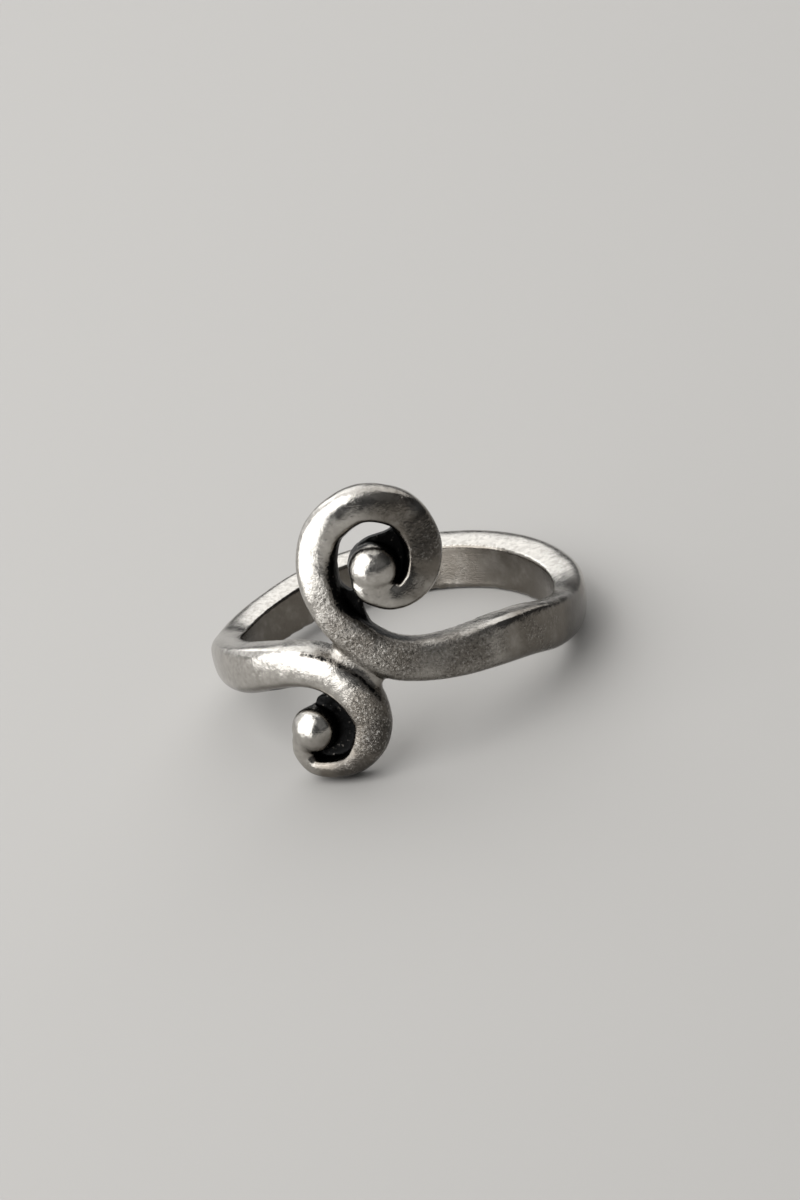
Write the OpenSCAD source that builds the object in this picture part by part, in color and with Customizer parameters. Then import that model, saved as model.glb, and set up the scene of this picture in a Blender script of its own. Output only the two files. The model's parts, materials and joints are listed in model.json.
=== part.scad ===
// Silver ring of one piece: a rounded band whose two ends cross the front and curl into spirals with ball ends.
// Sizes are in millimetres. The band is laid out flat as around (to the right from the middle of the front)
// and up (along the finger), then bent round the finger. The ring lies on a flat surface at height 0.

/* [Finger] */
// Radius of the finger opening
finger_radius = 8.65; // [8.6:0.05:8.7]

/* [Band] */
// Share of the drawn band width that is kept
band_width_share = 1.0; // [0.95:0.01:1.05]
// Share of the drawn band thickness that is kept
band_thickness_share = 1.0; // [0.95:0.01:1.05]

/* [Ball ends] */
// Radius of the ball in the upper spiral
upper_ball_radius = 1.28; // [1.2:0.02:1.36]
// Radius of the ball in the lower spiral
lower_ball_radius = 1.24; // [1.16:0.02:1.32]
// Height of the balls above the finger opening
ball_height = 2.5; // [2.3:0.05:2.6]

/* [Recesses] */
// Height of the sunk floors above the finger opening
floor_height = 0.95; // [0.8:0.05:1.1]

/* [Hidden] */

// radius at which lengths around the band are measured
layout_radius = 9.6;
// half of the way round, where the two strands meet at the back
half_round = PI * layout_radius;
// sections made between two rows of a strand's table, and of a floor's table
steps = 5;
floor_steps = 4;
// a row this near to half of the way round lies at the back
back_tolerance = 0.01;
// how far the spirals stand off the finger opening
standoff = 0.3;
// how far the band is drawn inside the finger opening before the opening is cut
overlap = -0.25;
// how much the outside of the band stands higher than its inside, at the back
band_rise = 0.5;
// share by which the band is thicker above and thinner below, at the back
band_lean = 0.12;
// height of the rounded top of a ball as a share of its radius
dome_share = 0.76;
// radius of the foot of each ball's post as a share of the ball's radius
upper_foot_share = 1.08;
lower_foot_share = 0.92;
// how much further the backs of the posts and of the sunk floors stand off than the spirals
post_inset = 0.02;
floor_inset = 0.05;
// degrees between two points of a ball's outline, and sides of a ball and of the finger opening
ball_step = 15;
ball_sides = 40;
opening_sides = 96;
// length of the cut for the finger, more than the ring's height
opening_length = 40;

// strand that runs from the back round the right side and ends in the upper spiral
// columns: around, up, width, thickness, height of its back, sharpness of its inner edge, of its outer edge
right_strand = [
    [half_round, 0.02, 2.70, 2.15, overlap, 0.3, 0.3],
    [25.1, -0.06, 2.66, 2.08, overlap, 0.3, 0.3],
    [20.1, -0.48, 2.52, 1.88, overlap, 0.3, 0.5],
    [15.1, -0.82, 2.46, 1.66, overlap, 0.3, 0.6],
    [11.7, -0.56, 2.70, 1.72, overlap, 0.6, 0.5],
    [9.2, -0.10, 2.78, 1.80, overlap, 0.8, 0.4],
    [6.8, 0.06, 2.72, 1.85, overlap, 0.9, 0.3],
    [4.6, 0.05, 2.50, 1.85, overlap, 0.9, 0.3],
    [2.5, 0.18, 2.35, 1.85, overlap, 0.8, 0.2],
    [0.7, 0.76, 2.30, 1.90, -0.1, 0.5, 0.2],
    [-0.85, 2.20, 2.05, 1.90, 0.2, 0.3, 0.2],
    [-1.75, 3.55, 2.05, 1.90, standoff, 0.2, 0.2],
    [-2.13, 4.95, 2.10, 1.95, standoff, 0.2, 0.2],
    [-2.03, 6.60, 2.15, 1.95, standoff, 0.2, 0.2],
    [-1.20, 8.22, 2.10, 1.95, standoff, 0.3, 0.2],
    [0.75, 9.20, 2.00, 1.95, standoff, 0.5, 0.2],
    [2.78, 8.47, 2.00, 1.90, standoff, 0.8, 0.2],
    [3.60, 6.65, 1.95, 1.90, standoff, 1, 0.2],
    [3.30, 5.02, 1.80, 1.85, standoff, 1, 0.2],
    [2.50, 4.17, 1.55, 1.86, standoff, 1, 0.2],
    [1.62, 3.95, 1.42, 1.95, standoff, 0.7, 0.2],
    [0.95, 4.17, 1.38, 2.10, standoff, 0.4, 0.1],
    [0.42, 4.60, 1.34, 2.20, standoff, 0.2, 0.1],
    [0.17, 5.12, 1.10, 2.15, standoff, 0, 0],
    [0.15, 5.65, 0.85, 1.90, standoff, 0, 0],
];

// strand that runs from the back round the left side and ends in the lower spiral, same columns
left_strand = [
    [-half_round, 0.02, 2.70, 2.15, overlap, 0.3, 0.3],
    [-25.1, -0.22, 2.56, 1.93, overlap, 0.3, 0.3],
    [-20.1, -0.82, 2.36, 1.70, overlap, 0.3, 0.3],
    [-15.9, -1.05, 2.36, 1.66, overlap, 0.2, 0.3],
    [-12.4, -0.68, 2.55, 1.72, overlap, 0.2, 0.4],
    [-9.3, -0.30, 2.75, 1.80, overlap, 0.2, 0.6],
    [-6.7, 0.20, 2.60, 1.88, overlap, 0.2, 0.8],
    [-4.7, 0.50, 2.40, 1.90, overlap, 0.3, 0.8],
    [-3.1, 0.40, 2.35, 1.90, overlap, 0.5, 0.7],
    [-1.75, -0.25, 2.35, 1.90, -0.1, 0.7, 0.5],
    [-0.86, -1.40, 2.20, 1.90, 0.2, 0.9, 0.3],
    [-0.52, -2.70, 1.90, 1.90, standoff, 1, 0.1],
    [-0.93, -3.96, 1.70, 1.85, standoff, 1, 0.1],
    [-1.90, -4.92, 1.24, 1.80, standoff, 1, 0.1],
    [-3.20, -5.18, 1.12, 1.80, standoff, 1, 0.1],
    [-4.12, -5.00, 1.06, 1.85, standoff, 0.7, 0.1],
    [-4.52, -4.42, 1.16, 1.95, standoff, 0.3, 0.1],
    [-4.56, -3.84, 1.12, 2.10, standoff, 0, 0],
    [-4.38, -3.21, 0.88, 1.93, standoff, 0, 0],
];

// half of a strand's outline, from the middle of its back to the middle of its face
// columns: side as a share of half the width, height as a share of the thickness
soft_half = [
    [0.74, 0.00],
    [0.90, 0.10],
    [1.00, 0.32],
    [0.98, 0.55],
    [0.89, 0.74],
    [0.72, 0.88],
    [0.47, 0.97],
    [0.15, 1.00],
];
sharp_half = [
    [0.90, 0.00],
    [0.97, 0.06],
    [1.00, 0.35],
    [1.00, 0.68],
    [0.97, 0.83],
    [0.88, 0.93],
    [0.66, 0.98],
    [0.28, 1.00],
];

// sunk floors in the spirals
// columns: turn in degrees about the ball, nearest and furthest distance from its middle
upper_floor = [
    [-60, 0.6, 2.1],
    [-30, 0.6, 2.3],
    [0, 0.6, 2.4],
    [25, 0.6, 2.6],
    [42, 0.6, 2.8],
    [51, 0.6, 2.5],
    [57, 0.6, 2.1],
    [64, 0.6, 1.85],
    [76, 0.6, 1.65],
    [96, 0.6, 1.48],
    [122, 0.6, 1.38],
];
upper_bridge = [
    [192, 2.2, 2.7],
    [201, 2.1, 2.8],
    [213, 2.0, 2.9],
    [222, 1.8, 3.0],
    [229, 1.2, 3.1],
    [238, 1.0, 3.3],
    [243, 1.9, 3.6],
    [250, 2.6, 3.7],
    [258, 3.2, 4.0],
];
lower_floor = [
    [-130, 0.6, 2.0],
    [-90, 0.6, 2.3],
    [-45, 0.6, 2.8],
    [0, 0.6, 3.0],
    [30, 0.6, 3.0],
    [48, 0.6, 2.8],
    [60, 0.6, 2.1],
    [73, 0.6, 1.8],
    [84, 0.6, 1.6],
    [92, 0.6, 1.25],
];

// middle of each ball: around, up
upper_ball = [0.85, 5.71];
lower_ball = [-3.74, -2.87];

// short fillet between the two strands where they touch
// same columns as a strand
joint = [
    [-2.00, 1.72, 0.5, 1.25, overlap, 0, 0],
    [-1.45, 1.00, 0.9, 1.55, overlap, 0, 0],
    [-0.86, 0.32, 1.1, 1.62, overlap, 0, 0],
    [-0.25, -0.33, 1.0, 1.55, overlap, 0, 0],
    [0.20, -0.72, 0.65, 1.2, overlap, 0, 0],
];

// turn that lays the ring on its side as it rests by itself
rest_turn = [-13.23, 4.48, 0];
// shift that then centres it, with its lowest point at height 0
rest_shift = [0.028, 0.145, 3.349];

silver = [0.72, 0.71, 0.68];

// point of the flat layout bent round the finger
function bent(around, up, height) =
    let (turn = around / layout_radius * 180 / PI, r = finger_radius + height)
    [r * sin(turn), -r * cos(turn), up];

// smooth curve through four rows at share t of the middle span
function between(a, b, c, d, t) =
    0.5 * (2 * b + (c - a) * t + (2 * a - 5 * b + 4 * c - d) * t * t + (3 * b - a - 3 * c + d) * t * t * t);

function smooth(rows, n) =
    let (last = len(rows) - 1)
    [
        for (i = [0:last - 1], j = [0:n - 1])
            between(rows[max(i - 1, 0)], rows[i], rows[i + 1], rows[min(i + 2, last)], j / n),
        rows[last],
    ];

// half outline on one side, inner (-1) or outer (1), between soft and sharp
function half_outline(side, sharp) =
    let (
        last = len(soft_half) - 1,
        order = side < 0 ? [last:-1:0] : [0:last]
    )
    [
        for (i = order)
            let (q = soft_half[i] * (1 - sharp) + sharp_half[i] * sharp)
            [side * q[0], q[1]],
    ];

// one cross-section of a strand at row i, as bent points
function section(rows, i) =
    let (
        last = len(rows) - 1,
        p = rows[i],
        a = rows[max(i - 1, 0)],
        b = rows[min(i + 1, last)],
        at_back = abs(p[0]) > half_round - back_tolerance,
        step = [b[0] - a[0], at_back ? 0 : b[1] - a[1]],
        run = step / norm(step),
        outward = [-run[1], run[0]],
        half = p[2] / 2 * band_width_share,
        tall = p[3] * band_thickness_share - p[4],
        flare = (1 - cos(p[0] / layout_radius * 180 / PI)) / 2
    )
    [
        for (o = concat(half_outline(-1, p[5]), half_outline(1, p[6])))
            bent(
                p[0] + outward[0] * o[0] * half,
                p[1] + outward[1] * o[0] * half + band_rise * flare * o[1],
                p[4] + o[1] * tall * (1 + band_lean * flare * o[0] * outward[1])
            ),
    ];

// skin over a list of cross-sections that all have the same number of points
module skin(sections) {
    n = len(sections);
    m = len(sections[0]);
    points = [for (s = sections) each s];
    sides = [
        for (i = [0:n - 2], j = [0:m - 1])
            let (a = i * m + j, b = i * m + (j + 1) % m, c = a + m, d = b + m)
            each [[a, d, b], [a, c, d]],
    ];
    start = [[for (j = [0:m - 1]) j]];
    end = [[for (j = [m - 1:-1:0]) (n - 1) * m + j]];
    polyhedron(points = points, faces = concat(sides, start, end), convexity = 10);
}

module strand(rows) {
    fine = smooth(rows, steps);
    skin([for (i = [0:len(fine) - 1]) section(fine, i)]);
}

// floor between a ball and the strand around it
module sunk_floor(rows, ball) {
    back = standoff + floor_inset;
    fine = smooth(rows, floor_steps);
    skin([
        for (p = fine)
            let (c = cos(p[0]), s = sin(p[0]))
            [
                bent(ball[0] + p[2] * c, ball[1] + p[2] * s, back),
                bent(ball[0] + p[1] * c, ball[1] + p[1] * s, back),
                bent(ball[0] + p[1] * c, ball[1] + p[1] * s, floor_height),
                bent(ball[0] + p[2] * c, ball[1] + p[2] * s, floor_height),
            ],
    ]);
}

// ball on a short post
module ball_end(place, radius, foot_share) {
    turn = place[0] / layout_radius * 180 / PI;
    back = standoff + post_inset;
    post = ball_height - radius * dome_share;
    rotate([0, 0, turn])
        translate([0, -finger_radius, place[1]])
            rotate([90, 0, 0])
                rotate_extrude($fn = ball_sides)
                    polygon(concat(
                        [[0, back], [radius * foot_share, back]],
                        [for (a = [0:ball_step:90]) [radius * cos(a), post + radius * dome_share * sin(a)]]
                    ));
}

module ring_body() {
    strand(right_strand);
    strand(left_strand);
    strand(joint);
    sunk_floor(upper_floor, upper_ball);
    sunk_floor(upper_bridge, upper_ball);
    sunk_floor(lower_floor, lower_ball);
    ball_end(upper_ball, upper_ball_radius, upper_foot_share);
    ball_end(lower_ball, lower_ball_radius, lower_foot_share);
}

module finger_opening() {
    translate([0, 0, -opening_length / 2])
        cylinder(h = opening_length, r = finger_radius, $fn = opening_sides);
}

module spiral_ring() {
    color(silver)
        translate(rest_shift)
            rotate(rest_turn)
                difference() {
                    ring_body();
                    finger_opening();
                }
}

spiral_ring();
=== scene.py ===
"""A silver ring of one piece whose band ends cross at the front and curl into spirals that end in balls.

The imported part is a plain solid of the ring. This script lays the same ring out again in fine detail, merges
it into one skin, and gives it the marks of casting, black patina in its recesses and wear on its high places.
Lengths are millimetres in the ring's own frame until the mesh is done: the finger runs along Z and the front,
with the spirals, faces -Y. The finished mesh is then turned and moved as the part lies, in metres.
"""
import json
import math

import bpy
import numpy as np
from mathutils import Matrix, Vector, noise
from mathutils.bvhtree import BVHTree


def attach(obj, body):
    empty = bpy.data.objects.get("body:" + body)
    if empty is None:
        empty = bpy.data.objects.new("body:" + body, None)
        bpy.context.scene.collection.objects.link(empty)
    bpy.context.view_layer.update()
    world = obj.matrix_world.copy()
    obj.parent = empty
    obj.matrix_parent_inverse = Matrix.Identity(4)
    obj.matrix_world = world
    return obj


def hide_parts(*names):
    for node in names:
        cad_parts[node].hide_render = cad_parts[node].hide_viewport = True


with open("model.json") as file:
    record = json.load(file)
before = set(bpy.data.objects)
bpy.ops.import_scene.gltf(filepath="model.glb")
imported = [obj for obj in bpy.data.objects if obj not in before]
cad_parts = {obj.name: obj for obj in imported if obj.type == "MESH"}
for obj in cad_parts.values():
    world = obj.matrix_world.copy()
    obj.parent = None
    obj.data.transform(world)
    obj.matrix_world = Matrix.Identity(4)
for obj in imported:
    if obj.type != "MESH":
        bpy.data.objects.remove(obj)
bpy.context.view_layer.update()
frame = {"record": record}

MM = 0.001

# Layout, with the same strands, floors and balls as the part's. A place is around (to the right from the
# middle of the front, measured at the layout radius), up (along the finger) and height (above the finger
# opening).
BORE = frame["record"]["mounts"][0]
FINGER_RADIUS = BORE["dims"]["r_mm"]
LAYOUT_RADIUS = 9.6
HALF_ROUND = math.pi * LAYOUT_RADIUS
# a row this near to half of the way round lies at the back
BACK_TOLERANCE = 0.01
# how far the spirals stand off the finger opening, and the sunk floors beyond them
STANDOFF = 0.3
FLOOR_INSET = 0.05
# how far the band is drawn inside the finger opening, and how far its edge there is worn round
OVERLAP = -0.25
OPENING_EDGE = 0.05
# how much the outside of the band stands higher than its inside, at the back
BAND_RISE = 0.5
# share by which the band is thicker above and thinner below, at the back
BAND_LEAN = 0.12
FLOOR_HEIGHT = 0.95
BALL_HEIGHT = 2.5
# height of the rounded top of a ball as a share of its radius
DOME_SHARE = 0.76
# degrees about X and then Y that lay the ring on its side, and the shift that then centres it on the floor,
# in millimetres
REST_TURN = (-13.23, 4.48)
REST_SHIFT = (0.028, 0.145, 3.349)

# strand that runs from the back round the right side and ends in the upper spiral
# around, up, width, thickness, height of its back, sharpness of its inner edge, of its outer edge
RIGHT_STRAND = [
    (HALF_ROUND, 0.02, 2.70, 2.15, OVERLAP, 0.3, 0.3),
    (25.1, -0.06, 2.66, 2.08, OVERLAP, 0.3, 0.3),
    (20.1, -0.48, 2.52, 1.88, OVERLAP, 0.3, 0.5),
    (15.1, -0.82, 2.46, 1.66, OVERLAP, 0.3, 0.6),
    (11.7, -0.56, 2.70, 1.72, OVERLAP, 0.6, 0.5),
    (9.2, -0.10, 2.78, 1.80, OVERLAP, 0.8, 0.4),
    (6.8, 0.06, 2.72, 1.85, OVERLAP, 0.9, 0.3),
    (4.6, 0.05, 2.50, 1.85, OVERLAP, 0.9, 0.3),
    (2.5, 0.18, 2.35, 1.85, OVERLAP, 0.8, 0.2),
    (0.7, 0.76, 2.30, 1.90, -0.1, 0.5, 0.2),
    (-0.85, 2.20, 2.05, 1.90, 0.2, 0.3, 0.2),
    (-1.75, 3.55, 2.05, 1.90, STANDOFF, 0.2, 0.2),
    (-2.13, 4.95, 2.10, 1.95, STANDOFF, 0.2, 0.2),
    (-2.03, 6.60, 2.15, 1.95, STANDOFF, 0.2, 0.2),
    (-1.20, 8.22, 2.10, 1.95, STANDOFF, 0.3, 0.2),
    (0.75, 9.20, 2.00, 1.95, STANDOFF, 0.5, 0.2),
    (2.78, 8.47, 2.00, 1.90, STANDOFF, 0.8, 0.2),
    (3.60, 6.65, 1.95, 1.90, STANDOFF, 1, 0.2),
    (3.30, 5.02, 1.80, 1.85, STANDOFF, 1, 0.2),
    (2.50, 4.17, 1.55, 1.86, STANDOFF, 1, 0.2),
    (1.62, 3.95, 1.42, 1.95, STANDOFF, 0.7, 0.2),
    (0.95, 4.17, 1.38, 2.10, STANDOFF, 0.4, 0.1),
    (0.42, 4.60, 1.34, 2.20, STANDOFF, 0.2, 0.1),
    (0.17, 5.12, 1.10, 2.15, STANDOFF, 0, 0),
    (0.15, 5.65, 0.85, 1.90, STANDOFF, 0, 0),
]
# strand that runs from the back round the left side and ends in the lower spiral, same columns
LEFT_STRAND = [
    (-HALF_ROUND, 0.02, 2.70, 2.15, OVERLAP, 0.3, 0.3),
    (-25.1, -0.22, 2.56, 1.93, OVERLAP, 0.3, 0.3),
    (-20.1, -0.82, 2.36, 1.70, OVERLAP, 0.3, 0.3),
    (-15.9, -1.05, 2.36, 1.66, OVERLAP, 0.2, 0.3),
    (-12.4, -0.68, 2.55, 1.72, OVERLAP, 0.2, 0.4),
    (-9.3, -0.30, 2.75, 1.80, OVERLAP, 0.2, 0.6),
    (-6.7, 0.20, 2.60, 1.88, OVERLAP, 0.2, 0.8),
    (-4.7, 0.50, 2.40, 1.90, OVERLAP, 0.3, 0.8),
    (-3.1, 0.40, 2.35, 1.90, OVERLAP, 0.5, 0.7),
    (-1.75, -0.25, 2.35, 1.90, -0.1, 0.7, 0.5),
    (-0.86, -1.40, 2.20, 1.90, 0.2, 0.9, 0.3),
    (-0.52, -2.70, 1.90, 1.90, STANDOFF, 1, 0.1),
    (-0.93, -3.96, 1.70, 1.85, STANDOFF, 1, 0.1),
    (-1.90, -4.92, 1.24, 1.80, STANDOFF, 1, 0.1),
    (-3.20, -5.18, 1.12, 1.80, STANDOFF, 1, 0.1),
    (-4.12, -5.00, 1.06, 1.85, STANDOFF, 0.7, 0.1),
    (-4.52, -4.42, 1.16, 1.95, STANDOFF, 0.3, 0.1),
    (-4.56, -3.84, 1.12, 2.10, STANDOFF, 0, 0),
    (-4.38, -3.21, 0.88, 1.93, STANDOFF, 0, 0),
]
# short fillet between the two strands where they touch, same columns
JOINT = [
    (-2.00, 1.72, 0.5, 1.25, OVERLAP, 0, 0),
    (-1.45, 1.00, 0.9, 1.55, OVERLAP, 0, 0),
    (-0.86, 0.32, 1.1, 1.62, OVERLAP, 0, 0),
    (-0.25, -0.33, 1.0, 1.55, OVERLAP, 0, 0),
    (0.20, -0.72, 0.65, 1.2, OVERLAP, 0, 0),
]
# raised root at the left of the lower ball, which the part's solid leaves out, same columns
LOWER_ROOT = [
    (-4.60, -4.25, 0.8, 1.85, STANDOFF, 0, 0),
    (-4.54, -3.90, 1.1, 2.10, STANDOFF, 0, 0),
    (-4.42, -3.50, 1.2, 2.24, STANDOFF, 0, 0),
    (-4.20, -3.10, 1.2, 2.34, STANDOFF, 0, 0),
    (-3.95, -2.90, 0.9, 2.30, STANDOFF, 0, 0),
]

# half of a strand's outline, from the middle of its back to the middle of its face
# side as a share of half the width, height as a share of the thickness
SOFT_HALF = [
    (0.74, 0.00),
    (0.90, 0.10),
    (1.00, 0.32),
    (0.98, 0.55),
    (0.89, 0.74),
    (0.72, 0.88),
    (0.47, 0.97),
    (0.15, 1.00),
]
SHARP_HALF = [
    (0.90, 0.00),
    (0.97, 0.06),
    (1.00, 0.35),
    (1.00, 0.68),
    (0.97, 0.83),
    (0.88, 0.93),
    (0.66, 0.98),
    (0.28, 1.00),
]

# sunk floors: turn in degrees about the ball, nearest and furthest distance from its middle
UPPER_FLOOR = [
    (-60, 0.6, 2.1),
    (-30, 0.6, 2.3),
    (0, 0.6, 2.4),
    (25, 0.6, 2.6),
    (42, 0.6, 2.8),
    (51, 0.6, 2.5),
    (57, 0.6, 2.1),
    (64, 0.6, 1.85),
    (76, 0.6, 1.65),
    (96, 0.6, 1.48),
    (122, 0.6, 1.38),
]
UPPER_BRIDGE = [
    (192, 2.2, 2.7),
    (201, 2.1, 2.8),
    (213, 2.0, 2.9),
    (222, 1.8, 3.0),
    (229, 1.2, 3.1),
    (238, 1.0, 3.3),
    (243, 1.9, 3.6),
    (250, 2.6, 3.7),
    (258, 3.2, 4.0),
]
LOWER_FLOOR = [
    (-130, 0.6, 2.0),
    (-90, 0.6, 2.3),
    (-45, 0.6, 2.8),
    (0, 0.6, 3.0),
    (30, 0.6, 3.0),
    (48, 0.6, 2.8),
    (60, 0.6, 2.1),
    (73, 0.6, 1.8),
    (84, 0.6, 1.6),
    (92, 0.6, 1.25),
]
# around, up, radius, foot as a share of the radius
UPPER_BALL = (0.85, 5.71, 1.28, 1.08)
LOWER_BALL = (-3.74, -2.87, 1.24, 0.92)
BALLS = (UPPER_BALL, LOWER_BALL)

# where a ball grows out of its tail: ball, first and last turn in degrees about it, lowest height
ROOTS = [
    (UPPER_BALL, 170, 322, 1.2),
    (LOWER_BALL, 160, 262, 0.4),
]
# between which shares of the ball's radius the root begins and ends
ROOT_INSIDE = (0.35, 0.75)
ROOT_OUTSIDE = (1.25, 1.6)
# degrees over which it sets in and fades out, and the height over which it sets in
ROOT_SETS_IN = 30
ROOT_FADES_OUT = 20
ROOT_RISE = 0.3

# Each of the pairs named below is two limits, between which a share rises or falls smoothly.
# how far from the joint and from what height its crease is filled
JOINT_REACH = (0.4, 0.8)
JOINT_HEIGHT = (0.3, 0.6)
# how far round from the front the plain band begins, and where the roughness of the casting and the marks of
# work end
BAND_BEGINS = (5, 8)
CAST_ENDS = (8, 16)
WORK_ENDS = (8, 14)

# Black patina round a ball. Facing is 1 on skin that faces straight away from the finger, and towards is 1 on
# skin that faces straight at the ball's axis.
WALL_TOWARDS = (0.1, 0.5)
WALL_FAR = (2.4, 4.2)
WALL_HEIGHT = (1.2, 1.6)
# how much higher the black goes on the left walls, as patina and painted shade, between these turns about the
# ball in degrees
WALL_HIGHER = (0.2, 0.6)
LEFT_FROM = (120, 160)
LEFT_TO = (230, 260)
SUNK_FACING = (0.3, 0.6)
SUNK_HEIGHT = (1.15, 1.4)
SUNK_FAR = (3.2, 3.8)
# distance as a share of the ball's radius
POST_FAR = (1.3, 1.6)
POST_HEIGHT = (0.95, 1.25)
POST_FACING_OUT = (0.2, 0.6)
POST_FACING_IN = (-0.8, -0.4)
OUTSIDE_HEIGHT = (0.2, 0.4)
# least distance from the ball's middle to divide by
LEAST_FAR = 0.01

# where the skin of the casting was left rough, and where grey tarnish stayed; on the right and lower parts
# this grey is also painted shade. around, up, reach, roughness, tarnish and painted shade
WEATHERED = [
    (-1.5, 3.0, 1.5, 0.9, 0.6),
    (-1.4, 4.7, 1.3, 0.9, 0.3),
    (-0.5, 1.7, 1.5, 0.9, 0.8),
    (1.4, 0.8, 2.0, 0.9, 0.8),
    (4.5, 0.2, 2.8, 0.75, 0.7),
    (9.0, 0.0, 3.0, 0.4, 1.0),
    (13.0, -0.6, 2.8, 0.1, 2.0),
    (-0.5, -1.8, 1.3, 1.0, 1.3),
    (-0.2, -3.3, 1.6, 0.9, 2.0),
    (-1.8, -5.3, 1.9, 0.4, 2.0),
    (0.4, 8.8, 1.2, 0.3, 0.2),
    (2.4, 8.9, 1.6, 0.4, 0.9),
    (3.8, 6.6, 1.8, 0.5, 2.0),
    (0.85, 5.71, 1.2, 0.35, 0.1),
    (-3.74, -2.87, 1.1, 0.35, 0.2),
    (2.6, 4.2, 1.3, 0.3, 0.6),
]
# lines where black was left in the work, around and up: along the upper edge of the left arm, and on the
# right arm's upper side where it leaves the crossing
LEFT_ARM_EDGE = [
    (-3.5, 1.42),
    (-2.8, 1.3),
    (-2.1, 1.02),
    (-1.62, 0.76),
    (-1.09, 0.31),
    (-0.69, -0.07),
    (-0.41, -0.5),
    (-0.05, -1.1),
    (0.1, -1.4),
]
RIGHT_ARM_SIDE = [
    (-0.9, 3.9),
    (-0.1, 3.2),
    (0.3, 2.65),
    (0.75, 2.15),
    (1.35, 1.75),
    (2.1, 1.45),
    (2.85, 1.25),
    (3.3, 1.2),
]
EDGE_BLACK = 0.56
EDGE_REACH = (0.02, 0.26)
EDGE_HEIGHT = (1.0, 1.3)
SIDE_BLACK = 0.75
SIDE_REACH = (0.3, 1.0)
SIDE_UPWARD = (0.2, 0.6)
SIDE_FOOT = (0.2, 0.6)
SIDE_TOP = (1.25, 1.65)
# how much of the side's black is gone at its far end, and how far round it fades
SIDE_FADE = 0.35
SIDE_FADES = (0.8, 3.3)

# noise: size of its features, seed, depth or share
HAND_WORK = (2.4, 3.1, 0.022)
TOOL_WORK = (0.9, 7.7, 0.010)
CAST_SKIN = (0.24, 1.3, 0.004)
CAST_FLOOR = (0.3, 5.9, 0.016)
EDGE_BREAKS = (0.4, 2.2, 0.3)
# how enclosed a place is where the grain of the cast floors begins and is full
CAST_FLOOR_RECESS = (0.45, 0.7)
# share of the tool work that is left at the back, and share of all unevenness that is polished off the balls
BACK_TOOL_SHARE = 0.4
BALL_POLISH = 0.7

# roughness of the cast skin where no row above says more, and how far it falls towards the back
PLAIN_CAST = 0.27
BACK_POLISH = 0.35
# grey on the wall of the finger opening and on undersides, tarnish and painted shade in one
WALL_TARNISH_AND_SHADE = 0.8
UNDERSIDE_TARNISH_AND_SHADE = 0.9
# how much the skin faces down where the tarnish and painted shade of the underside begin and are full
UNDERSIDE_FACING = (0.15, 0.8)
# height where the rows above set in
WEATHERED_HEIGHT = (0.4, 1.0)

# points between two rows of a table: along a strand, round its outline and along a floor
ALONG_STEPS = 10
OUTLINE_STEPS = 4
FLOOR_STEPS = 6
BALL_SIDES = 72
DOME_RINGS = 13
SKIN_VOXEL = 0.1
# creases and worn edges keep the same width whatever the size of the mesh
FILL_TIMES = round(0.9 / SKIN_VOXEL**2)
BULGE_SCALE = 0.14 / SKIN_VOXEL**2
BULGE_SPREAD = round(0.03 / SKIN_VOXEL**2)
# rounds of smoothing everywhere, and further rounds on the plain band
EVEN_TIMES = 5
BAND_EVEN_TIMES = 12
# each round pulls points together and then pushes them back a little more, so that the shape doesn't shrink
EVEN_PULLS = (0.5, -0.52)
FILL_PULL = 0.9

# how far a point looks for what encloses it, in how many directions, and how far off the skin it starts
OPEN_REACH = 2.2
OPEN_WAYS = 20
OPEN_START = 0.03
# rounds of smoothing of how enclosed a point is
RECESS_SPREAD = 2
# a normal that points less upright than this makes a frame with the Z axis, and any other with the X axis
UPRIGHT_LIMIT = 0.9
# the wall of the finger opening faces the finger at least this much and is this near to its radius
WALL_FACING = -0.7
WALL_REACH = 0.1


def bent(around, up, height):
    """Points of the flat layout, bent round the finger."""
    turn = np.asarray(around) / LAYOUT_RADIUS
    r = FINGER_RADIUS + np.asarray(height)
    return np.stack(np.broadcast_arrays(r * np.sin(turn), -r * np.cos(turn), up), axis=-1)


def laid_out(points):
    """Around, up and height of points, back from the bent ring to the flat layout."""
    x, y, up = points.T
    return np.arctan2(x, -y) * LAYOUT_RADIUS, up, np.hypot(x, y) - FINGER_RADIUS


def between(a, b, c, d, t):
    """Catmull-Rom curve through four rows, at share t of the middle span."""
    return 0.5 * (2 * b + (c - a) * t + (2 * a - 5 * b + 4 * c - d) * t**2 + (3 * b - a - 3 * c + d) * t**3)


def smooth_rows(rows, steps, closed=False):
    """Smooth curve through rows of numbers, with steps points between two rows."""
    rows = np.asarray(rows, float)
    n = len(rows)
    pick = (lambda i: rows[i % n]) if closed else (lambda i: rows[min(max(i, 0), n - 1)])
    out = [
        between(pick(i - 1), pick(i), pick(i + 1), pick(i + 2), t)
        for i in range(n if closed else n - 1)
        for t in np.arange(steps) / steps
    ]
    if not closed:
        out.append(rows[-1])
    return np.array(out)


def outline(inner_sharp, outer_sharp):
    """Closed outline of a strand, as side and height shares, from its two edges' sharpness."""
    soft, sharp = np.array(SOFT_HALF), np.array(SHARP_HALF)
    inner = (soft * (1 - inner_sharp) + sharp * inner_sharp)[::-1] * (-1, 1)
    outer = soft * (1 - outer_sharp) + sharp * outer_sharp
    return smooth_rows(np.concatenate([inner, outer]), OUTLINE_STEPS, closed=True)


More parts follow.
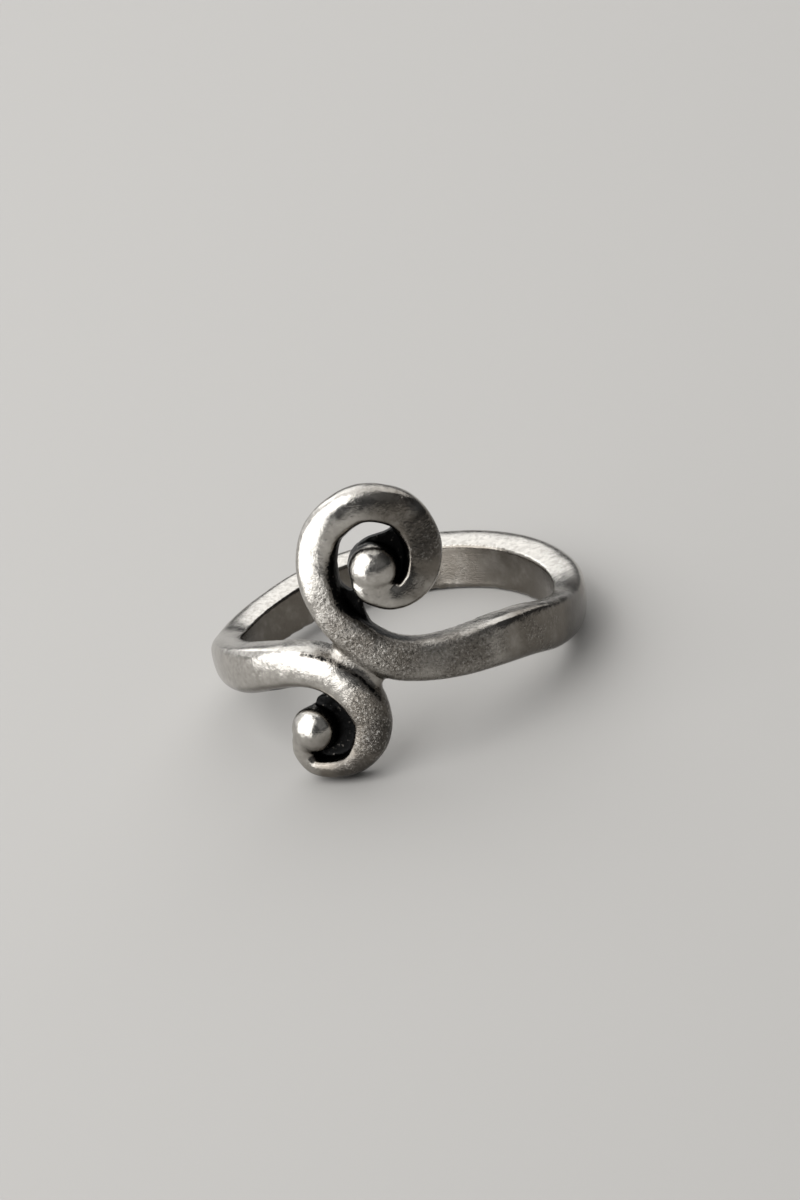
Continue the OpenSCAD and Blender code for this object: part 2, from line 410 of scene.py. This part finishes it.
def strand_sections(rows):
    """Outlines of a strand, bent round the finger, one after the other along it."""
    rows = smooth_rows(rows, ALONG_STEPS)
    out = []
    for i, (around, up, width, thick, back, inner, outer) in enumerate(rows):
        before, after = rows[max(i - 1, 0)], rows[min(i + 1, len(rows) - 1)]
        run = (after - before)[:2]
        if abs(around) > HALF_ROUND - BACK_TOLERANCE:
            run[1] = 0
        run /= np.linalg.norm(run)
        aside = np.array([-run[1], run[0]])
        flare = (1 - math.cos(around / LAYOUT_RADIUS)) / 2
        side, rise = outline(inner, outer).T
        height = back + rise * (thick - back) * (1 + BAND_LEAN * flare * side * aside[1])
        # the finger opening cuts the band off at height 0
        if back < STANDOFF:
            height = (height + np.sqrt(height**2 + OPENING_EDGE**2)) / 2
        out.append(bent(
            around + aside[0] * side * width / 2,
            up + aside[1] * side * width / 2 + BAND_RISE * flare * rise,
            height,
        ))
    return out


def floor_sections(rows, ball):
    """Cross-sections of a sunk floor, bent round the finger, one after the other about its ball."""
    back = STANDOFF + FLOOR_INSET
    height = np.array([back, back, FLOOR_HEIGHT, FLOOR_HEIGHT])
    out = []
    for turn, near, far in smooth_rows(rows, FLOOR_STEPS):
        c, s = math.cos(math.radians(turn)), math.sin(math.radians(turn))
        reach = np.array([far, near, near, far])
        out.append(bent(ball[0] + reach * c, ball[1] + reach * s, height))
    return out


def skin(sections):
    """Vertices and faces of a closed skin over sections that all have the same number of points."""
    n, m = len(sections), len(sections[0])
    faces = [
        (i * m + j, (i + 1) * m + j, (i + 1) * m + (j + 1) % m, i * m + (j + 1) % m)
        for i in range(n - 1) for j in range(m)
    ]
    faces += [tuple(range(m)), tuple((n - 1) * m + j for j in reversed(range(m)))]
    return np.concatenate(sections), faces


def ball_end(around, up, radius, foot_share):
    """A ball on its post, turned as one profile about the axis that points away from the finger."""
    post = BALL_HEIGHT - radius * DOME_SHARE
    arc = np.radians(np.linspace(0, 90, DOME_RINGS + 1)[:-1])
    profile = [
        (radius * foot_share, STANDOFF),
        (radius * (1 + foot_share) / 2, (STANDOFF + post) / 2),
    ]
    profile += [(radius * math.cos(a), post + radius * DOME_SHARE * math.sin(a)) for a in arc]
    spin = np.radians(np.arange(BALL_SIDES) * 360 / BALL_SIDES)[:, None]
    turn = around / LAYOUT_RADIUS
    out = np.array([math.sin(turn), -math.cos(turn), 0])
    aside = np.array([math.cos(turn), math.sin(turn), 0])
    upward = np.array([0, 0, 1])
    return skin([
        out * (FINGER_RADIUS + height) + aside * (r * np.cos(spin)) + upward * (up + r * np.sin(spin))
        for r, height in profile
    ])


def merged_skin(parts):
    """One even mesh over everything in parts."""
    points, faces = [], []
    for p, f in parts:
        base = sum(len(q) for q in points)
        points.append(p)
        faces += [tuple(base + v for v in face) for face in f]
    mesh = bpy.data.meshes.new("parts")
    mesh.from_pydata(np.concatenate(points).tolist(), [], faces)
    rough = bpy.data.objects.new("parts", mesh)
    bpy.context.scene.collection.objects.link(rough)
    remesh = rough.modifiers.new("even", "REMESH")
    remesh.mode = "VOXEL"
    remesh.voxel_size = SKIN_VOXEL
    made = bpy.data.meshes.new_from_object(rough.evaluated_get(bpy.context.evaluated_depsgraph_get()))
    bpy.data.objects.remove(rough)
    bpy.data.meshes.remove(mesh)
    return made


class Surface:
    """Points of a mesh with what is needed to smooth them and to measure them."""

    def __init__(self, mesh):
        self.mesh = mesh
        self.points = np.zeros(len(mesh.vertices) * 3)
        mesh.vertices.foreach_get("co", self.points)
        self.points = self.points.reshape(-1, 3)
        self.edges = np.zeros(len(mesh.edges) * 2, int)
        mesh.edges.foreach_get("vertices", self.edges)
        self.edges = self.edges.reshape(-1, 2)
        self.degree = np.bincount(self.edges.ravel(), minlength=len(self.points))

    def average(self, values):
        """Each point's mean over its neighbours."""
        flat = values.reshape(len(values), -1)
        a, b = self.edges.T
        n = len(flat)
        total = np.stack([np.bincount(a, c[b], n) + np.bincount(b, c[a], n) for c in flat.T], axis=1)
        return (total / self.degree[:, None]).reshape(values.shape)

    def spread(self, values, times):
        """Values smoothed over the surface."""
        for _ in range(times):
            values = (values + self.average(values)) / 2
        return values

    def even_out(self, times, share=1.0):
        """Smooths the steps of the voxels away where share is above 0."""
        share = np.broadcast_to(share, len(self.points))[:, None]
        for _ in range(times):
            for pull in EVEN_PULLS:
                self.points += pull * share * (self.average(self.points) - self.points)

    def hollow(self, normals):
        """How far each point lies below its neighbours, and less than 0 where it stands out."""
        return np.sum((self.average(self.points) - self.points) * normals, axis=1)

    def fill_creases(self, times, share):
        """Fills creases to fillets where share is above 0, and leaves what stands out as it is."""
        for _ in range(times):
            normals = self.normals()
            lift = self.hollow(normals)
            self.points += normals * (FILL_PULL * share * np.maximum(lift, 0))[:, None]

    def store(self):
        self.mesh.vertices.foreach_set("co", self.points.ravel())
        self.mesh.update()

    def normals(self):
        self.store()
        out = np.zeros(len(self.points) * 3)
        self.mesh.vertices.foreach_get("normal", out)
        return out.reshape(-1, 3)


def rises(x, low, high):
    """0 up to low, 1 from high on, and smooth between."""
    t = np.clip((x - low) / (high - low), 0, 1)
    return t * t * (3 - 2 * t)


def falls(x, low, high):
    """1 up to low, 0 from high on, and smooth between."""
    return 1 - rises(x, low, high)


def about(ball, around, up):
    """Distance from a ball's middle in the flat layout, and the turn about it in degrees."""
    far = np.hypot(around - ball[0], up - ball[1])
    return far, np.degrees(np.arctan2(up - ball[1], around - ball[0])) % 360


def root(surface, ball, first, last, low):
    """1 where a ball grows out of its tail, between two turns about the ball and above a height."""
    around, up, height = laid_out(surface.points)
    far, turn = about(ball, around, up)
    far = far / ball[2]
    ring = rises(far, *ROOT_INSIDE) * falls(far, *ROOT_OUTSIDE)
    arc = rises(turn, first, first + ROOT_SETS_IN) * falls(turn, last - ROOT_FADES_OUT, last)
    return ring * arc * rises(height, low, low + ROOT_RISE)


def from_path(around, up, path):
    """Distance in the flat layout from a path of straight pieces."""
    out = np.full(len(around), np.inf)
    for (a, b), (c, d) in zip(path, path[1:]):
        run = np.array([c - a, d - b])
        share = np.clip(((around - a) * run[0] + (up - b) * run[1]) / (run @ run), 0, 1)
        out = np.minimum(out, np.hypot(around - a - share * run[0], up - b - share * run[1]))
    return out


def noise_at(points, size, seed, depth):
    """Smooth noise from about -depth to depth, with features of the given size."""
    at = points / size + seed
    return depth * np.array([noise.noise(p) for p in at])


def openness(surface, normals):
    """Share of the directions over each point that are open as far as the point looks."""
    faces = [tuple(p.vertices) for p in surface.mesh.polygons]
    tree = BVHTree.FromPolygons(surface.points.tolist(), faces)
    golden = math.pi * (3 - math.sqrt(5))
    steps = (np.arange(OPEN_WAYS) + 0.5) / OPEN_WAYS
    flat, high, spin = np.sqrt(steps), np.sqrt(1 - steps), golden * np.arange(OPEN_WAYS)
    local = np.stack([flat * np.cos(spin), flat * np.sin(spin), high], axis=1)
    helper = np.where(np.abs(normals[:, [2]]) < UPRIGHT_LIMIT, [[0, 0, 1]], [[1, 0, 0]])
    u = np.cross(helper, normals)
    u /= np.linalg.norm(u, axis=1)[:, None]
    w = np.cross(normals, u)
    start = surface.points + normals * OPEN_START
    out = np.zeros(len(start))
    for i in range(len(start)):
        ways = local @ np.stack([u[i], w[i], normals[i]])
        origin = Vector(start[i])
        hits = sum(tree.ray_cast(origin, way, OPEN_REACH)[0] is not None for way in ways)
        out[i] = 1 - hits / OPEN_WAYS
    return out


def sunk_round(surface, normals, ball):
    """Where black patina collects round a ball: 1 on the floors, low on its post and on the walls that face
    it.
    On the left of the ball the walls are black higher up, patina and painted shade on their soft edges."""
    around, up, height = laid_out(surface.points)
    bend = around / LAYOUT_RADIUS
    out = np.stack([np.sin(bend), -np.cos(bend), 0 * bend], axis=1)
    aside = np.stack([np.cos(bend), np.sin(bend), 0 * bend], axis=1)
    far, turn = about(ball, around, up)
    inward, upward = ball[0] - around, ball[1] - up
    towards = np.sum(aside * normals, axis=1) * inward + normals[:, 2] * upward
    towards /= np.maximum(far, LEAST_FAR)
    facing = np.sum(out * normals, axis=1)
    left = rises(turn, *LEFT_FROM) * falls(turn, *LEFT_TO)
    wall_top = [low + more * left for low, more in zip(WALL_HEIGHT, WALL_HIGHER)]
    wall = rises(towards, *WALL_TOWARDS) * falls(far, *WALL_FAR) * falls(height, *wall_top)
    floor = rises(facing, *SUNK_FACING) * falls(height, *SUNK_HEIGHT) * falls(far, *SUNK_FAR)
    post = falls(far / ball[2], *POST_FAR) * falls(height, *POST_HEIGHT)
    post *= falls(facing, *POST_FACING_OUT) * rises(facing, *POST_FACING_IN)
    return np.maximum.reduce([wall, floor, post]) * rises(height, *OUTSIDE_HEIGHT)


def ring_surface():
    """The whole ring as one even skin with its creases filled, in its own frame."""
    surface = Surface(merged_skin([
        skin(strand_sections(RIGHT_STRAND)),
        skin(strand_sections(LEFT_STRAND)),
        skin(strand_sections(JOINT)),
        skin(strand_sections(LOWER_ROOT)),
        skin(floor_sections(UPPER_FLOOR, UPPER_BALL)),
        skin(floor_sections(UPPER_BRIDGE, UPPER_BALL)),
        skin(floor_sections(LOWER_FLOOR, LOWER_BALL)),
        ball_end(*UPPER_BALL),
        ball_end(*LOWER_BALL),
    ]))
    surface.even_out(EVEN_TIMES)
    surface.even_out(BAND_EVEN_TIMES, rises(np.abs(laid_out(surface.points)[0]), *BAND_BEGINS))
    # the tail of each spiral flows into its ball
    for place in ROOTS:
        surface.fill_creases(3 * FILL_TIMES, root(surface, *place))
    around, up, height = laid_out(surface.points)
    crossing = falls(from_path(around, up, [row[:2] for row in JOINT]), *JOINT_REACH)
    surface.fill_creases(FILL_TIMES // 3, crossing * rises(height, *JOINT_HEIGHT))
    return surface


def opening_wall(surface, normals):
    """True on the wall of the finger opening."""
    radial = surface.points * (1, 1, 0)
    radius = np.linalg.norm(radial, axis=1)
    facing = np.sum(radial * normals, axis=1) / radius
    return (facing < WALL_FACING) & (radius < FINGER_RADIUS + WALL_REACH)


def recesses(surface, normals):
    """How enclosed each point is, up to 1, with the places where black was left in the work."""
    out = surface.spread(1 - openness(surface, normals), RECESS_SPREAD)
    for ball in BALLS:
        out = np.maximum(out, sunk_round(surface, normals, ball))
    around, up, height = laid_out(surface.points)
    edge = EDGE_BLACK * falls(from_path(around, up, LEFT_ARM_EDGE), *EDGE_REACH) * rises(height, *EDGE_HEIGHT)
    edge *= 1 + noise_at(surface.points, *EDGE_BREAKS)
    side = falls(from_path(around, up, RIGHT_ARM_SIDE), *SIDE_REACH) * rises(normals[:, 2], *SIDE_UPWARD)
    side *= SIDE_BLACK - SIDE_FADE * rises(around, *SIDE_FADES)
    side *= rises(height, *SIDE_FOOT) * falls(height, *SIDE_TOP)
    return np.maximum.reduce([out, edge, side])


def weathering(surface, normals, on_wall):
    """How rough the cast skin was left, and how much grey tarnish with painted shade it carries, at each
    point.
    """
    around, up, height = laid_out(surface.points)
    # the back is worn smoother than the front, and the wall of the finger opening is smooth, with a grey that
    # is tarnish and painted shade
    cast = PLAIN_CAST - BACK_POLISH * rises(np.abs(around), *CAST_ENDS)
    cast[on_wall] = 0
    tarnish_and_shade = WALL_TARNISH_AND_SHADE * on_wall
    # grey tarnish of the rows, which on the right and lower parts is painted shade as well
    for a, b, reach, rough_share, tarnish_and_shade_share in WEATHERED:
        near = np.exp(-((around - a) ** 2 + (up - b) ** 2) / reach**2) * rises(height, *WEATHERED_HEIGHT)
        cast = np.maximum(cast, rough_share * near)
        tarnish_and_shade = np.maximum(tarnish_and_shade, tarnish_and_shade_share * near)
    # undersides are rubbed less, and their grey is tarnish and painted shade
    underside = rises(-normals[:, 2], *UNDERSIDE_FACING) * ~on_wall
    return cast, np.maximum(tarnish_and_shade, UNDERSIDE_TARNISH_AND_SHADE * underside)


def unevenness(surface, recess, on_wall):
    """How far the finished skin stands out from the even one, by hand work and the grain of the casting."""
    points = surface.points
    around, up, _ = laid_out(points)
    front = falls(np.abs(around), *WORK_ENDS)
    tool_share = BACK_TOOL_SHARE + (1 - BACK_TOOL_SHARE) * front
    uneven = noise_at(points, *HAND_WORK) + tool_share * noise_at(points, *TOOL_WORK)
    for ball in BALLS:
        far, _ = about(ball, around, up)
        uneven *= 1 - BALL_POLISH * np.exp(-far**4 / ball[2] ** 4)
    grain = front * ~on_wall * noise_at(points, *CAST_SKIN)
    grain += rises(recess, *CAST_FLOOR_RECESS) * noise_at(points, *CAST_FLOOR)
    return uneven * ~on_wall + grain


surface = ring_surface()
normals = surface.normals()
on_wall = opening_wall(surface, normals)
recess = recesses(surface, normals)
cast, tarnish_and_shade = weathering(surface, normals, on_wall)
surface.points += normals * unevenness(surface, recess, on_wall)[:, None]
# how far each point stands out of its surroundings, for wear
bulge = surface.spread(-surface.hollow(surface.normals()) * BULGE_SCALE, BULGE_SPREAD)

# from the ring's own frame to the part's, as it lies
turn_x, turn_y = (math.radians(turn) for turn in REST_TURN)
at_rest = Matrix.Rotation(turn_y, 3, "Y") @ Matrix.Rotation(turn_x, 3, "X")
surface.points = (surface.points @ np.array(at_rest).T + REST_SHIFT) * MM
surface.store()
mesh = surface.mesh
mesh.name = "silver_ring"
# measures the material reads; the tarnish among them is partly painted shade
MEASURES = ("recess", "bulge", "cast", "tarnish_and_shade")
for name, values in zip(MEASURES, (recess, bulge, cast, tarnish_and_shade)):
    mesh.attributes.new(name, "FLOAT", "POINT").data.foreach_set("value", values.astype(np.float32))
mesh.polygons.foreach_set("use_smooth", np.ones(len(mesh.polygons), bool))
silver_ring = bpy.data.objects.new("silver_ring", mesh)
bpy.context.scene.collection.objects.link(silver_ring)

# colours of the silver, from rubbed edges to the bottom of the recesses
WORN = (0.78, 0.76, 0.72, 1)
PEAK = (0.62, 0.60, 0.565, 1)
BRIGHT = (0.54, 0.52, 0.483, 1)
PLAIN = (0.41, 0.392, 0.362, 1)
# greys of tarnish, which also paint shade where the tarnish measure carries it
THIN_TARNISH_AND_SHADE = (0.125, 0.110, 0.092, 1)
THICK_TARNISH_AND_SHADE = (0.050, 0.043, 0.036, 1)
PIT = (0.045, 0.042, 0.038, 1)
PATINA = (0.006, 0.006, 0.006, 1)
GROUND_COLOUR = (0.38, 0.37, 0.355, 1)
GROUND_ROUGHNESS = 0.8

# sizes of the noises in cycles per metre: 1000 is one a millimetre
CLOUD_SCALE = 900
MOTTLE_SCALE = 3000
GLINT_SCALE = 5200
GRAIN_SCALE = 6500
SAND_SCALE = 17000
# fine scratches: turn of the noise about X, Y and Z, and its cycles per metre along them
SCRATCHES = [
    ((0.3, 0.2, 0.5), (500, 24000, 9000)),
    ((1.1, -0.4, 2.0), (700, 20000, 9000)),
    ((-0.5, 0.9, 1.2), (600, 26000, 8000)),
]
# metres of height that the bump's heights of 0 and 1 lie apart, and the depth of a scratch as a share of that
BUMP_DEPTH = 0.000055
SCRATCH_DEPTH = 0.02
PATINA_ROUGHNESS = 0.42

# Values between which each mark of the material sets in and is full.
CAST_RANGE = (0.65, 1.4)
PATINA_RANGE = (1.12, 1.31)
GLINT_RANGE = (0.66, 0.74)
BRIGHT_RANGE = (0.35, 0.65)
VEIL_RANGE = (0.45, 1.0)
THICK_TARNISH_AND_SHADE_RANGE = (0.9, 1.35)
COARSE_PIT_RANGE = (0.58, 0.72)
RECESS_PIT_RANGE = (0.2, 0.42)
PEAK_RANGE = (0.54, 0.62)
PEAK_MOTTLE_RANGE = (0.35, 0.6)
WORN_RANGE = (0.06, 0.24)
RUBBED_RANGE = (0.06, 0.25)
SCRATCH_RANGE = (0.62, 0.74)
# fine pits are full up to the first value and gone from the second on
FINE_PIT_RANGE = (0.36, 0.46)
# how much of a mark shows at its fullest
GLINT_MOST = 0.5
VEIL_MOST = 0.9
COARSE_PIT_MOST = 0.7
PIT_MOST = 0.8
PEAK_MOST = 0.55
WORN_MOST = 0.75
# share of the bright tops that shows where the mottle is weakest
PEAK_MOTTLE_LEAST = 0.5
# least roughness of the cast skin, and what is added to it for the bump
CAST_LEAST = 0.03
BUMP_LEAST = 0.03
# roughness that plain and rubbed metal add to that of the mottle and the cast skin
PLAIN_ROUGHNESS = 0.12
RUBBED_ROUGHNESS = 0.06


class Nodes:
    """Short names for the nodes of one material."""

    def __init__(self, name):
        self.material = bpy.data.materials.new(name)
        self.material.use_nodes = True
        self.tree = self.material.node_tree
        self.tree.nodes.clear()

    def add(self, kind, inputs=(), **settings):
        node = self.tree.nodes.new("ShaderNode" + kind)
        for key, value in settings.items():
            setattr(node, key, value)
        for key, value in dict(inputs).items():
            if isinstance(value, bpy.types.NodeSocket):
                self.tree.links.new(value, node.inputs[key])
            else:
                node.inputs[key].default_value = value
        return node

    def measure(self, name):
        """Value that is stored under this name at each point of the mesh."""
        return self.add("Attribute", attribute_name=name).outputs["Fac"]

    def math(self, operation, a, b=0.0, clamp=False):
        return self.add("Math", {0: a, 1: b}, operation=operation, use_clamp=clamp).outputs[0]

    def times(self, *values):
        out = values[0]
        for value in values[1:]:
            out = self.math("MULTIPLY", out, value)
        return out

    def total(self, *terms):
        """Sum of values, each times its share."""
        out = None
        for value, share in terms:
            part = value if share == 1 else self.times(value, share)
            out = part if out is None else self.math("ADD", out, part)
        return out

    def noise(self, where, scale, detail=2.0, roughness=0.5):
        inputs = {"Vector": where, "Scale": scale, "Detail": detail, "Roughness": roughness}
        return self.add("TexNoise", inputs).outputs["Fac"]

    def ramp(self, fac, limits, to_low=0.0, to_high=1.0):
        """to_low up to the first limit, to_high from the second on, and smooth between."""
        low, high = limits
        inputs = {"Value": fac, "From Min": low, "From Max": high, "To Min": to_low, "To Max": to_high}
        return self.add("MapRange", inputs, interpolation_type="SMOOTHSTEP").outputs["Result"]

    def mix(self, fac, a, b):
        return self.add("Mix", {"Factor": fac, "A": a, "B": b}, data_type="RGBA").outputs["Result"]

    def stretched(self, where, turn, scale):
        return self.add("Mapping", {"Vector": where, "Rotation": turn, "Scale": scale}).outputs["Vector"]

    def finish(self, inputs):
        shader = self.add("BsdfPrincipled", inputs)
        self.add("OutputMaterial", {"Surface": shader.outputs["BSDF"]})
        return self.material


def aged_silver():
    n = Nodes("aged_silver")
    where = n.add("TexCoord").outputs["Object"]
    recess, bulge, cast, tarnish_and_shade = [n.measure(name) for name in MEASURES]
    cloud = n.noise(where, CLOUD_SCALE, detail=3.0)
    mottle = n.noise(where, MOTTLE_SCALE, detail=3.0, roughness=0.6)
    grain = n.noise(where, GRAIN_SCALE, detail=3.0, roughness=0.7)
    sand = n.noise(where, SAND_SCALE, detail=1.0)
    cast = n.ramp(n.total((cast, 1), (cloud, 0.8), (mottle, 0.2)), CAST_RANGE, to_low=CAST_LEAST)
    # black patina: deep places, worn off unevenly
    held = n.total((recess, 1), (mottle, 0.42), (grain, 1), (bulge, -0.35))
    glints = n.ramp(n.noise(where, GLINT_SCALE, detail=1.0), GLINT_RANGE, to_high=GLINT_MOST)
    patina = n.math("SUBTRACT", n.ramp(held, PATINA_RANGE), glints, clamp=True)
    # grey tarnish near the recesses and in its own places, with the painted shade that the tarnish measure
    # carries
    film_and_shade = n.total((recess, 0.7), (tarnish_and_shade, 0.6), (cloud, 0.5))
    veil = n.ramp(n.total((film_and_shade, 1), (mottle, 0.4)), VEIL_RANGE, to_high=VEIL_MOST)
    # pits that hold dirt, and the bright tops of the grain between them
    fine_pits = n.ramp(grain, FINE_PIT_RANGE, to_low=1.0, to_high=0.0)
    pits = n.math("MAXIMUM", fine_pits, n.ramp(mottle, COARSE_PIT_RANGE, to_high=COARSE_PIT_MOST))
    pits = n.times(pits, n.math("MAXIMUM", cast, n.ramp(recess, RECESS_PIT_RANGE)), PIT_MOST)
    peaks = n.ramp(grain, PEAK_RANGE, to_high=PEAK_MOST)
    peaks = n.times(peaks, cast, n.ramp(mottle, PEAK_MOTTLE_RANGE, to_low=PEAK_MOTTLE_LEAST))
    colour = n.mix(n.ramp(mottle, BRIGHT_RANGE), PLAIN, BRIGHT)
    colour = n.mix(veil, colour, n.mix(n.ramp(film_and_shade, THICK_TARNISH_AND_SHADE_RANGE), THIN_TARNISH_AND_SHADE, THICK_TARNISH_AND_SHADE))
    colour = n.mix(pits, colour, PIT)
    colour = n.mix(peaks, colour, PEAK)
    colour = n.mix(n.ramp(bulge, WORN_RANGE, to_high=WORN_MOST), colour, WORN)
    colour = n.mix(patina, colour, PATINA)
    scratches = None
    for turn, scale in SCRATCHES:
        line = n.ramp(n.noise(n.stretched(where, turn, scale), 1.0, detail=1.0), SCRATCH_RANGE)
        scratches = line if scratches is None else n.math("MAXIMUM", scratches, line)
    rubbed = n.ramp(bulge, RUBBED_RANGE, to_low=PLAIN_ROUGHNESS, to_high=RUBBED_ROUGHNESS)
    rough = n.total((mottle, 0.12), (cast, 0.20), (rubbed, 1))
    bare = n.math("SUBTRACT", 1.0, patina)
    rough = n.total((n.times(rough, bare), 1), (patina, PATINA_ROUGHNESS))
    grit = n.times(n.total((grain, 1.1), (sand, 0.45), (mottle, 0.5)), n.math("ADD", cast, BUMP_LEAST))
    height = n.total((grit, 1), (scratches, -SCRATCH_DEPTH))
    bump = n.add("Bump", {"Strength": 1.0, "Distance": BUMP_DEPTH, "Height": height}).outputs["Normal"]
    return n.finish({"Base Color": colour, "Roughness": rough, "Normal": bump, "Metallic": 1.0})


def pale_ground():
    return Nodes("pale_ground").finish({"Base Color": GROUND_COLOUR, "Roughness": GROUND_ROUGHNESS})


mesh.materials.append(aged_silver())

# the floor that the ring lies on, and half of its side in metres
GROUND_HALF = 0.6
corners = [(x * GROUND_HALF, y * GROUND_HALF, 0) for x, y in ((-1, -1), (1, -1), (1, 1), (-1, 1))]
floor_mesh = bpy.data.meshes.new("ground")
floor_mesh.from_pydata(corners, [], [(0, 1, 2, 3)])
floor_mesh.materials.append(pale_ground())
ground = bpy.data.objects.new("ground", floor_mesh)
bpy.context.scene.collection.objects.link(ground)

# studio light: panels that face the ring, and a faint even light from all round
WORLD_COLOUR = (0.80, 0.82, 0.85, 1)
WORLD_STRENGTH = 0.08
RING_MIDDLE = (0, 0, 0.008)
# name, distance in metres, turn from the front (negative to the left), rise from the floor, half width, half
# height, brightness, and whether it lights the ring alone. The turn, the rise and the half sizes are degrees
# as seen from the ring.
SOFTBOXES = [
    ("key", 0.3, -50, 48, 32, 27, 3.1, False),
    ("key_low", 0.085, -54, 6, 29, 18, 3.6, True),
    ("left_fill", 0.3, -120, 22, 28, 20, 1.0, False),
    ("top_back", 0.3, 180, 46, 42, 32, 1.7, False),
    ("overhead", 0.3, 0, 89, 26, 12, 1.5, False),
    ("right_fill", 0.3, 40, 36, 26, 26, 0.15, False),
]


def softbox(name, distance, turn, rise, half_width, half_height, brightness, alone):
    turn, rise = math.radians(turn), math.radians(rise)
    way = Vector((math.sin(turn) * math.cos(rise), -math.cos(turn) * math.cos(rise), math.sin(rise)))
    light = bpy.data.lights.new(name, "AREA")
    light.shape = "RECTANGLE"
    light.size, light.size_y = [2 * distance * math.tan(math.radians(a)) for a in (half_width, half_height)]
    light.energy = brightness * math.pi * light.size * light.size_y
    panel = bpy.data.objects.new(name, light)
    panel.location = way * distance + Vector(RING_MIDDLE)
    panel.rotation_euler = way.to_track_quat("Z", "Y").to_euler()
    panel.visible_camera = False
    if alone:
        panel.light_linking.receiver_collection = bpy.data.collections.new(name)
        panel.light_linking.receiver_collection.objects.link(silver_ring)
    bpy.context.scene.collection.objects.link(panel)


world = bpy.data.worlds.new("studio")
bpy.context.scene.world = world
world.use_nodes = True
world.node_tree.nodes["Background"].inputs["Color"].default_value = WORLD_COLOUR
world.node_tree.nodes["Background"].inputs["Strength"].default_value = WORLD_STRENGTH
for row in SOFTBOXES:
    softbox(*row)
bpy.context.scene.view_settings.view_transform = "Standard"

# the photograph's camera, found against the ring in its own frame: elevation, roll and yaw of the view in
# degrees, distance in millimetres, pixels per millimetre at the ring, and the pixel of the ring's origin
ELEVATION, ROLL, YAW = map(math.radians, (16, 10, 10))
DISTANCE = 280
PIXELS_PER_MM = 18.3
PICTURE = (800, 1200)
RING_AT = (398, 616.5)
SENSOR_HEIGHT = 36
CLIP_START = 0.01
away = Vector((
    math.sin(YAW) * math.cos(ELEVATION),
    -math.cos(YAW) * math.cos(ELEVATION),
    math.sin(ELEVATION),
))
level = Vector((math.cos(YAW), math.sin(YAW), 0))
upright = away.cross(level)
right = math.cos(ROLL) * level - math.sin(ROLL) * upright
top = math.sin(ROLL) * level + math.cos(ROLL) * upright
turned = at_rest @ Matrix((right, top, away)).transposed()
place = (at_rest @ (away * DISTANCE) + Vector(REST_SHIFT)) * MM
lens = bpy.data.cameras.new("view")
lens.sensor_fit = "VERTICAL"
lens.sensor_height = SENSOR_HEIGHT
lens.lens = PIXELS_PER_MM * DISTANCE * SENSOR_HEIGHT / PICTURE[1]
lens.shift_x = (PICTURE[0] / 2 - RING_AT[0]) / PICTURE[1]
lens.shift_y = (RING_AT[1] - PICTURE[1] / 2) / PICTURE[1]
lens.clip_start = CLIP_START
camera = bpy.data.objects.new("view", lens)
camera.matrix_world = Matrix.Translation(place) @ turned.to_4x4()
bpy.context.scene.collection.objects.link(camera)
bpy.context.scene.camera = camera

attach(silver_ring, "root")
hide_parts("spiral_ring")
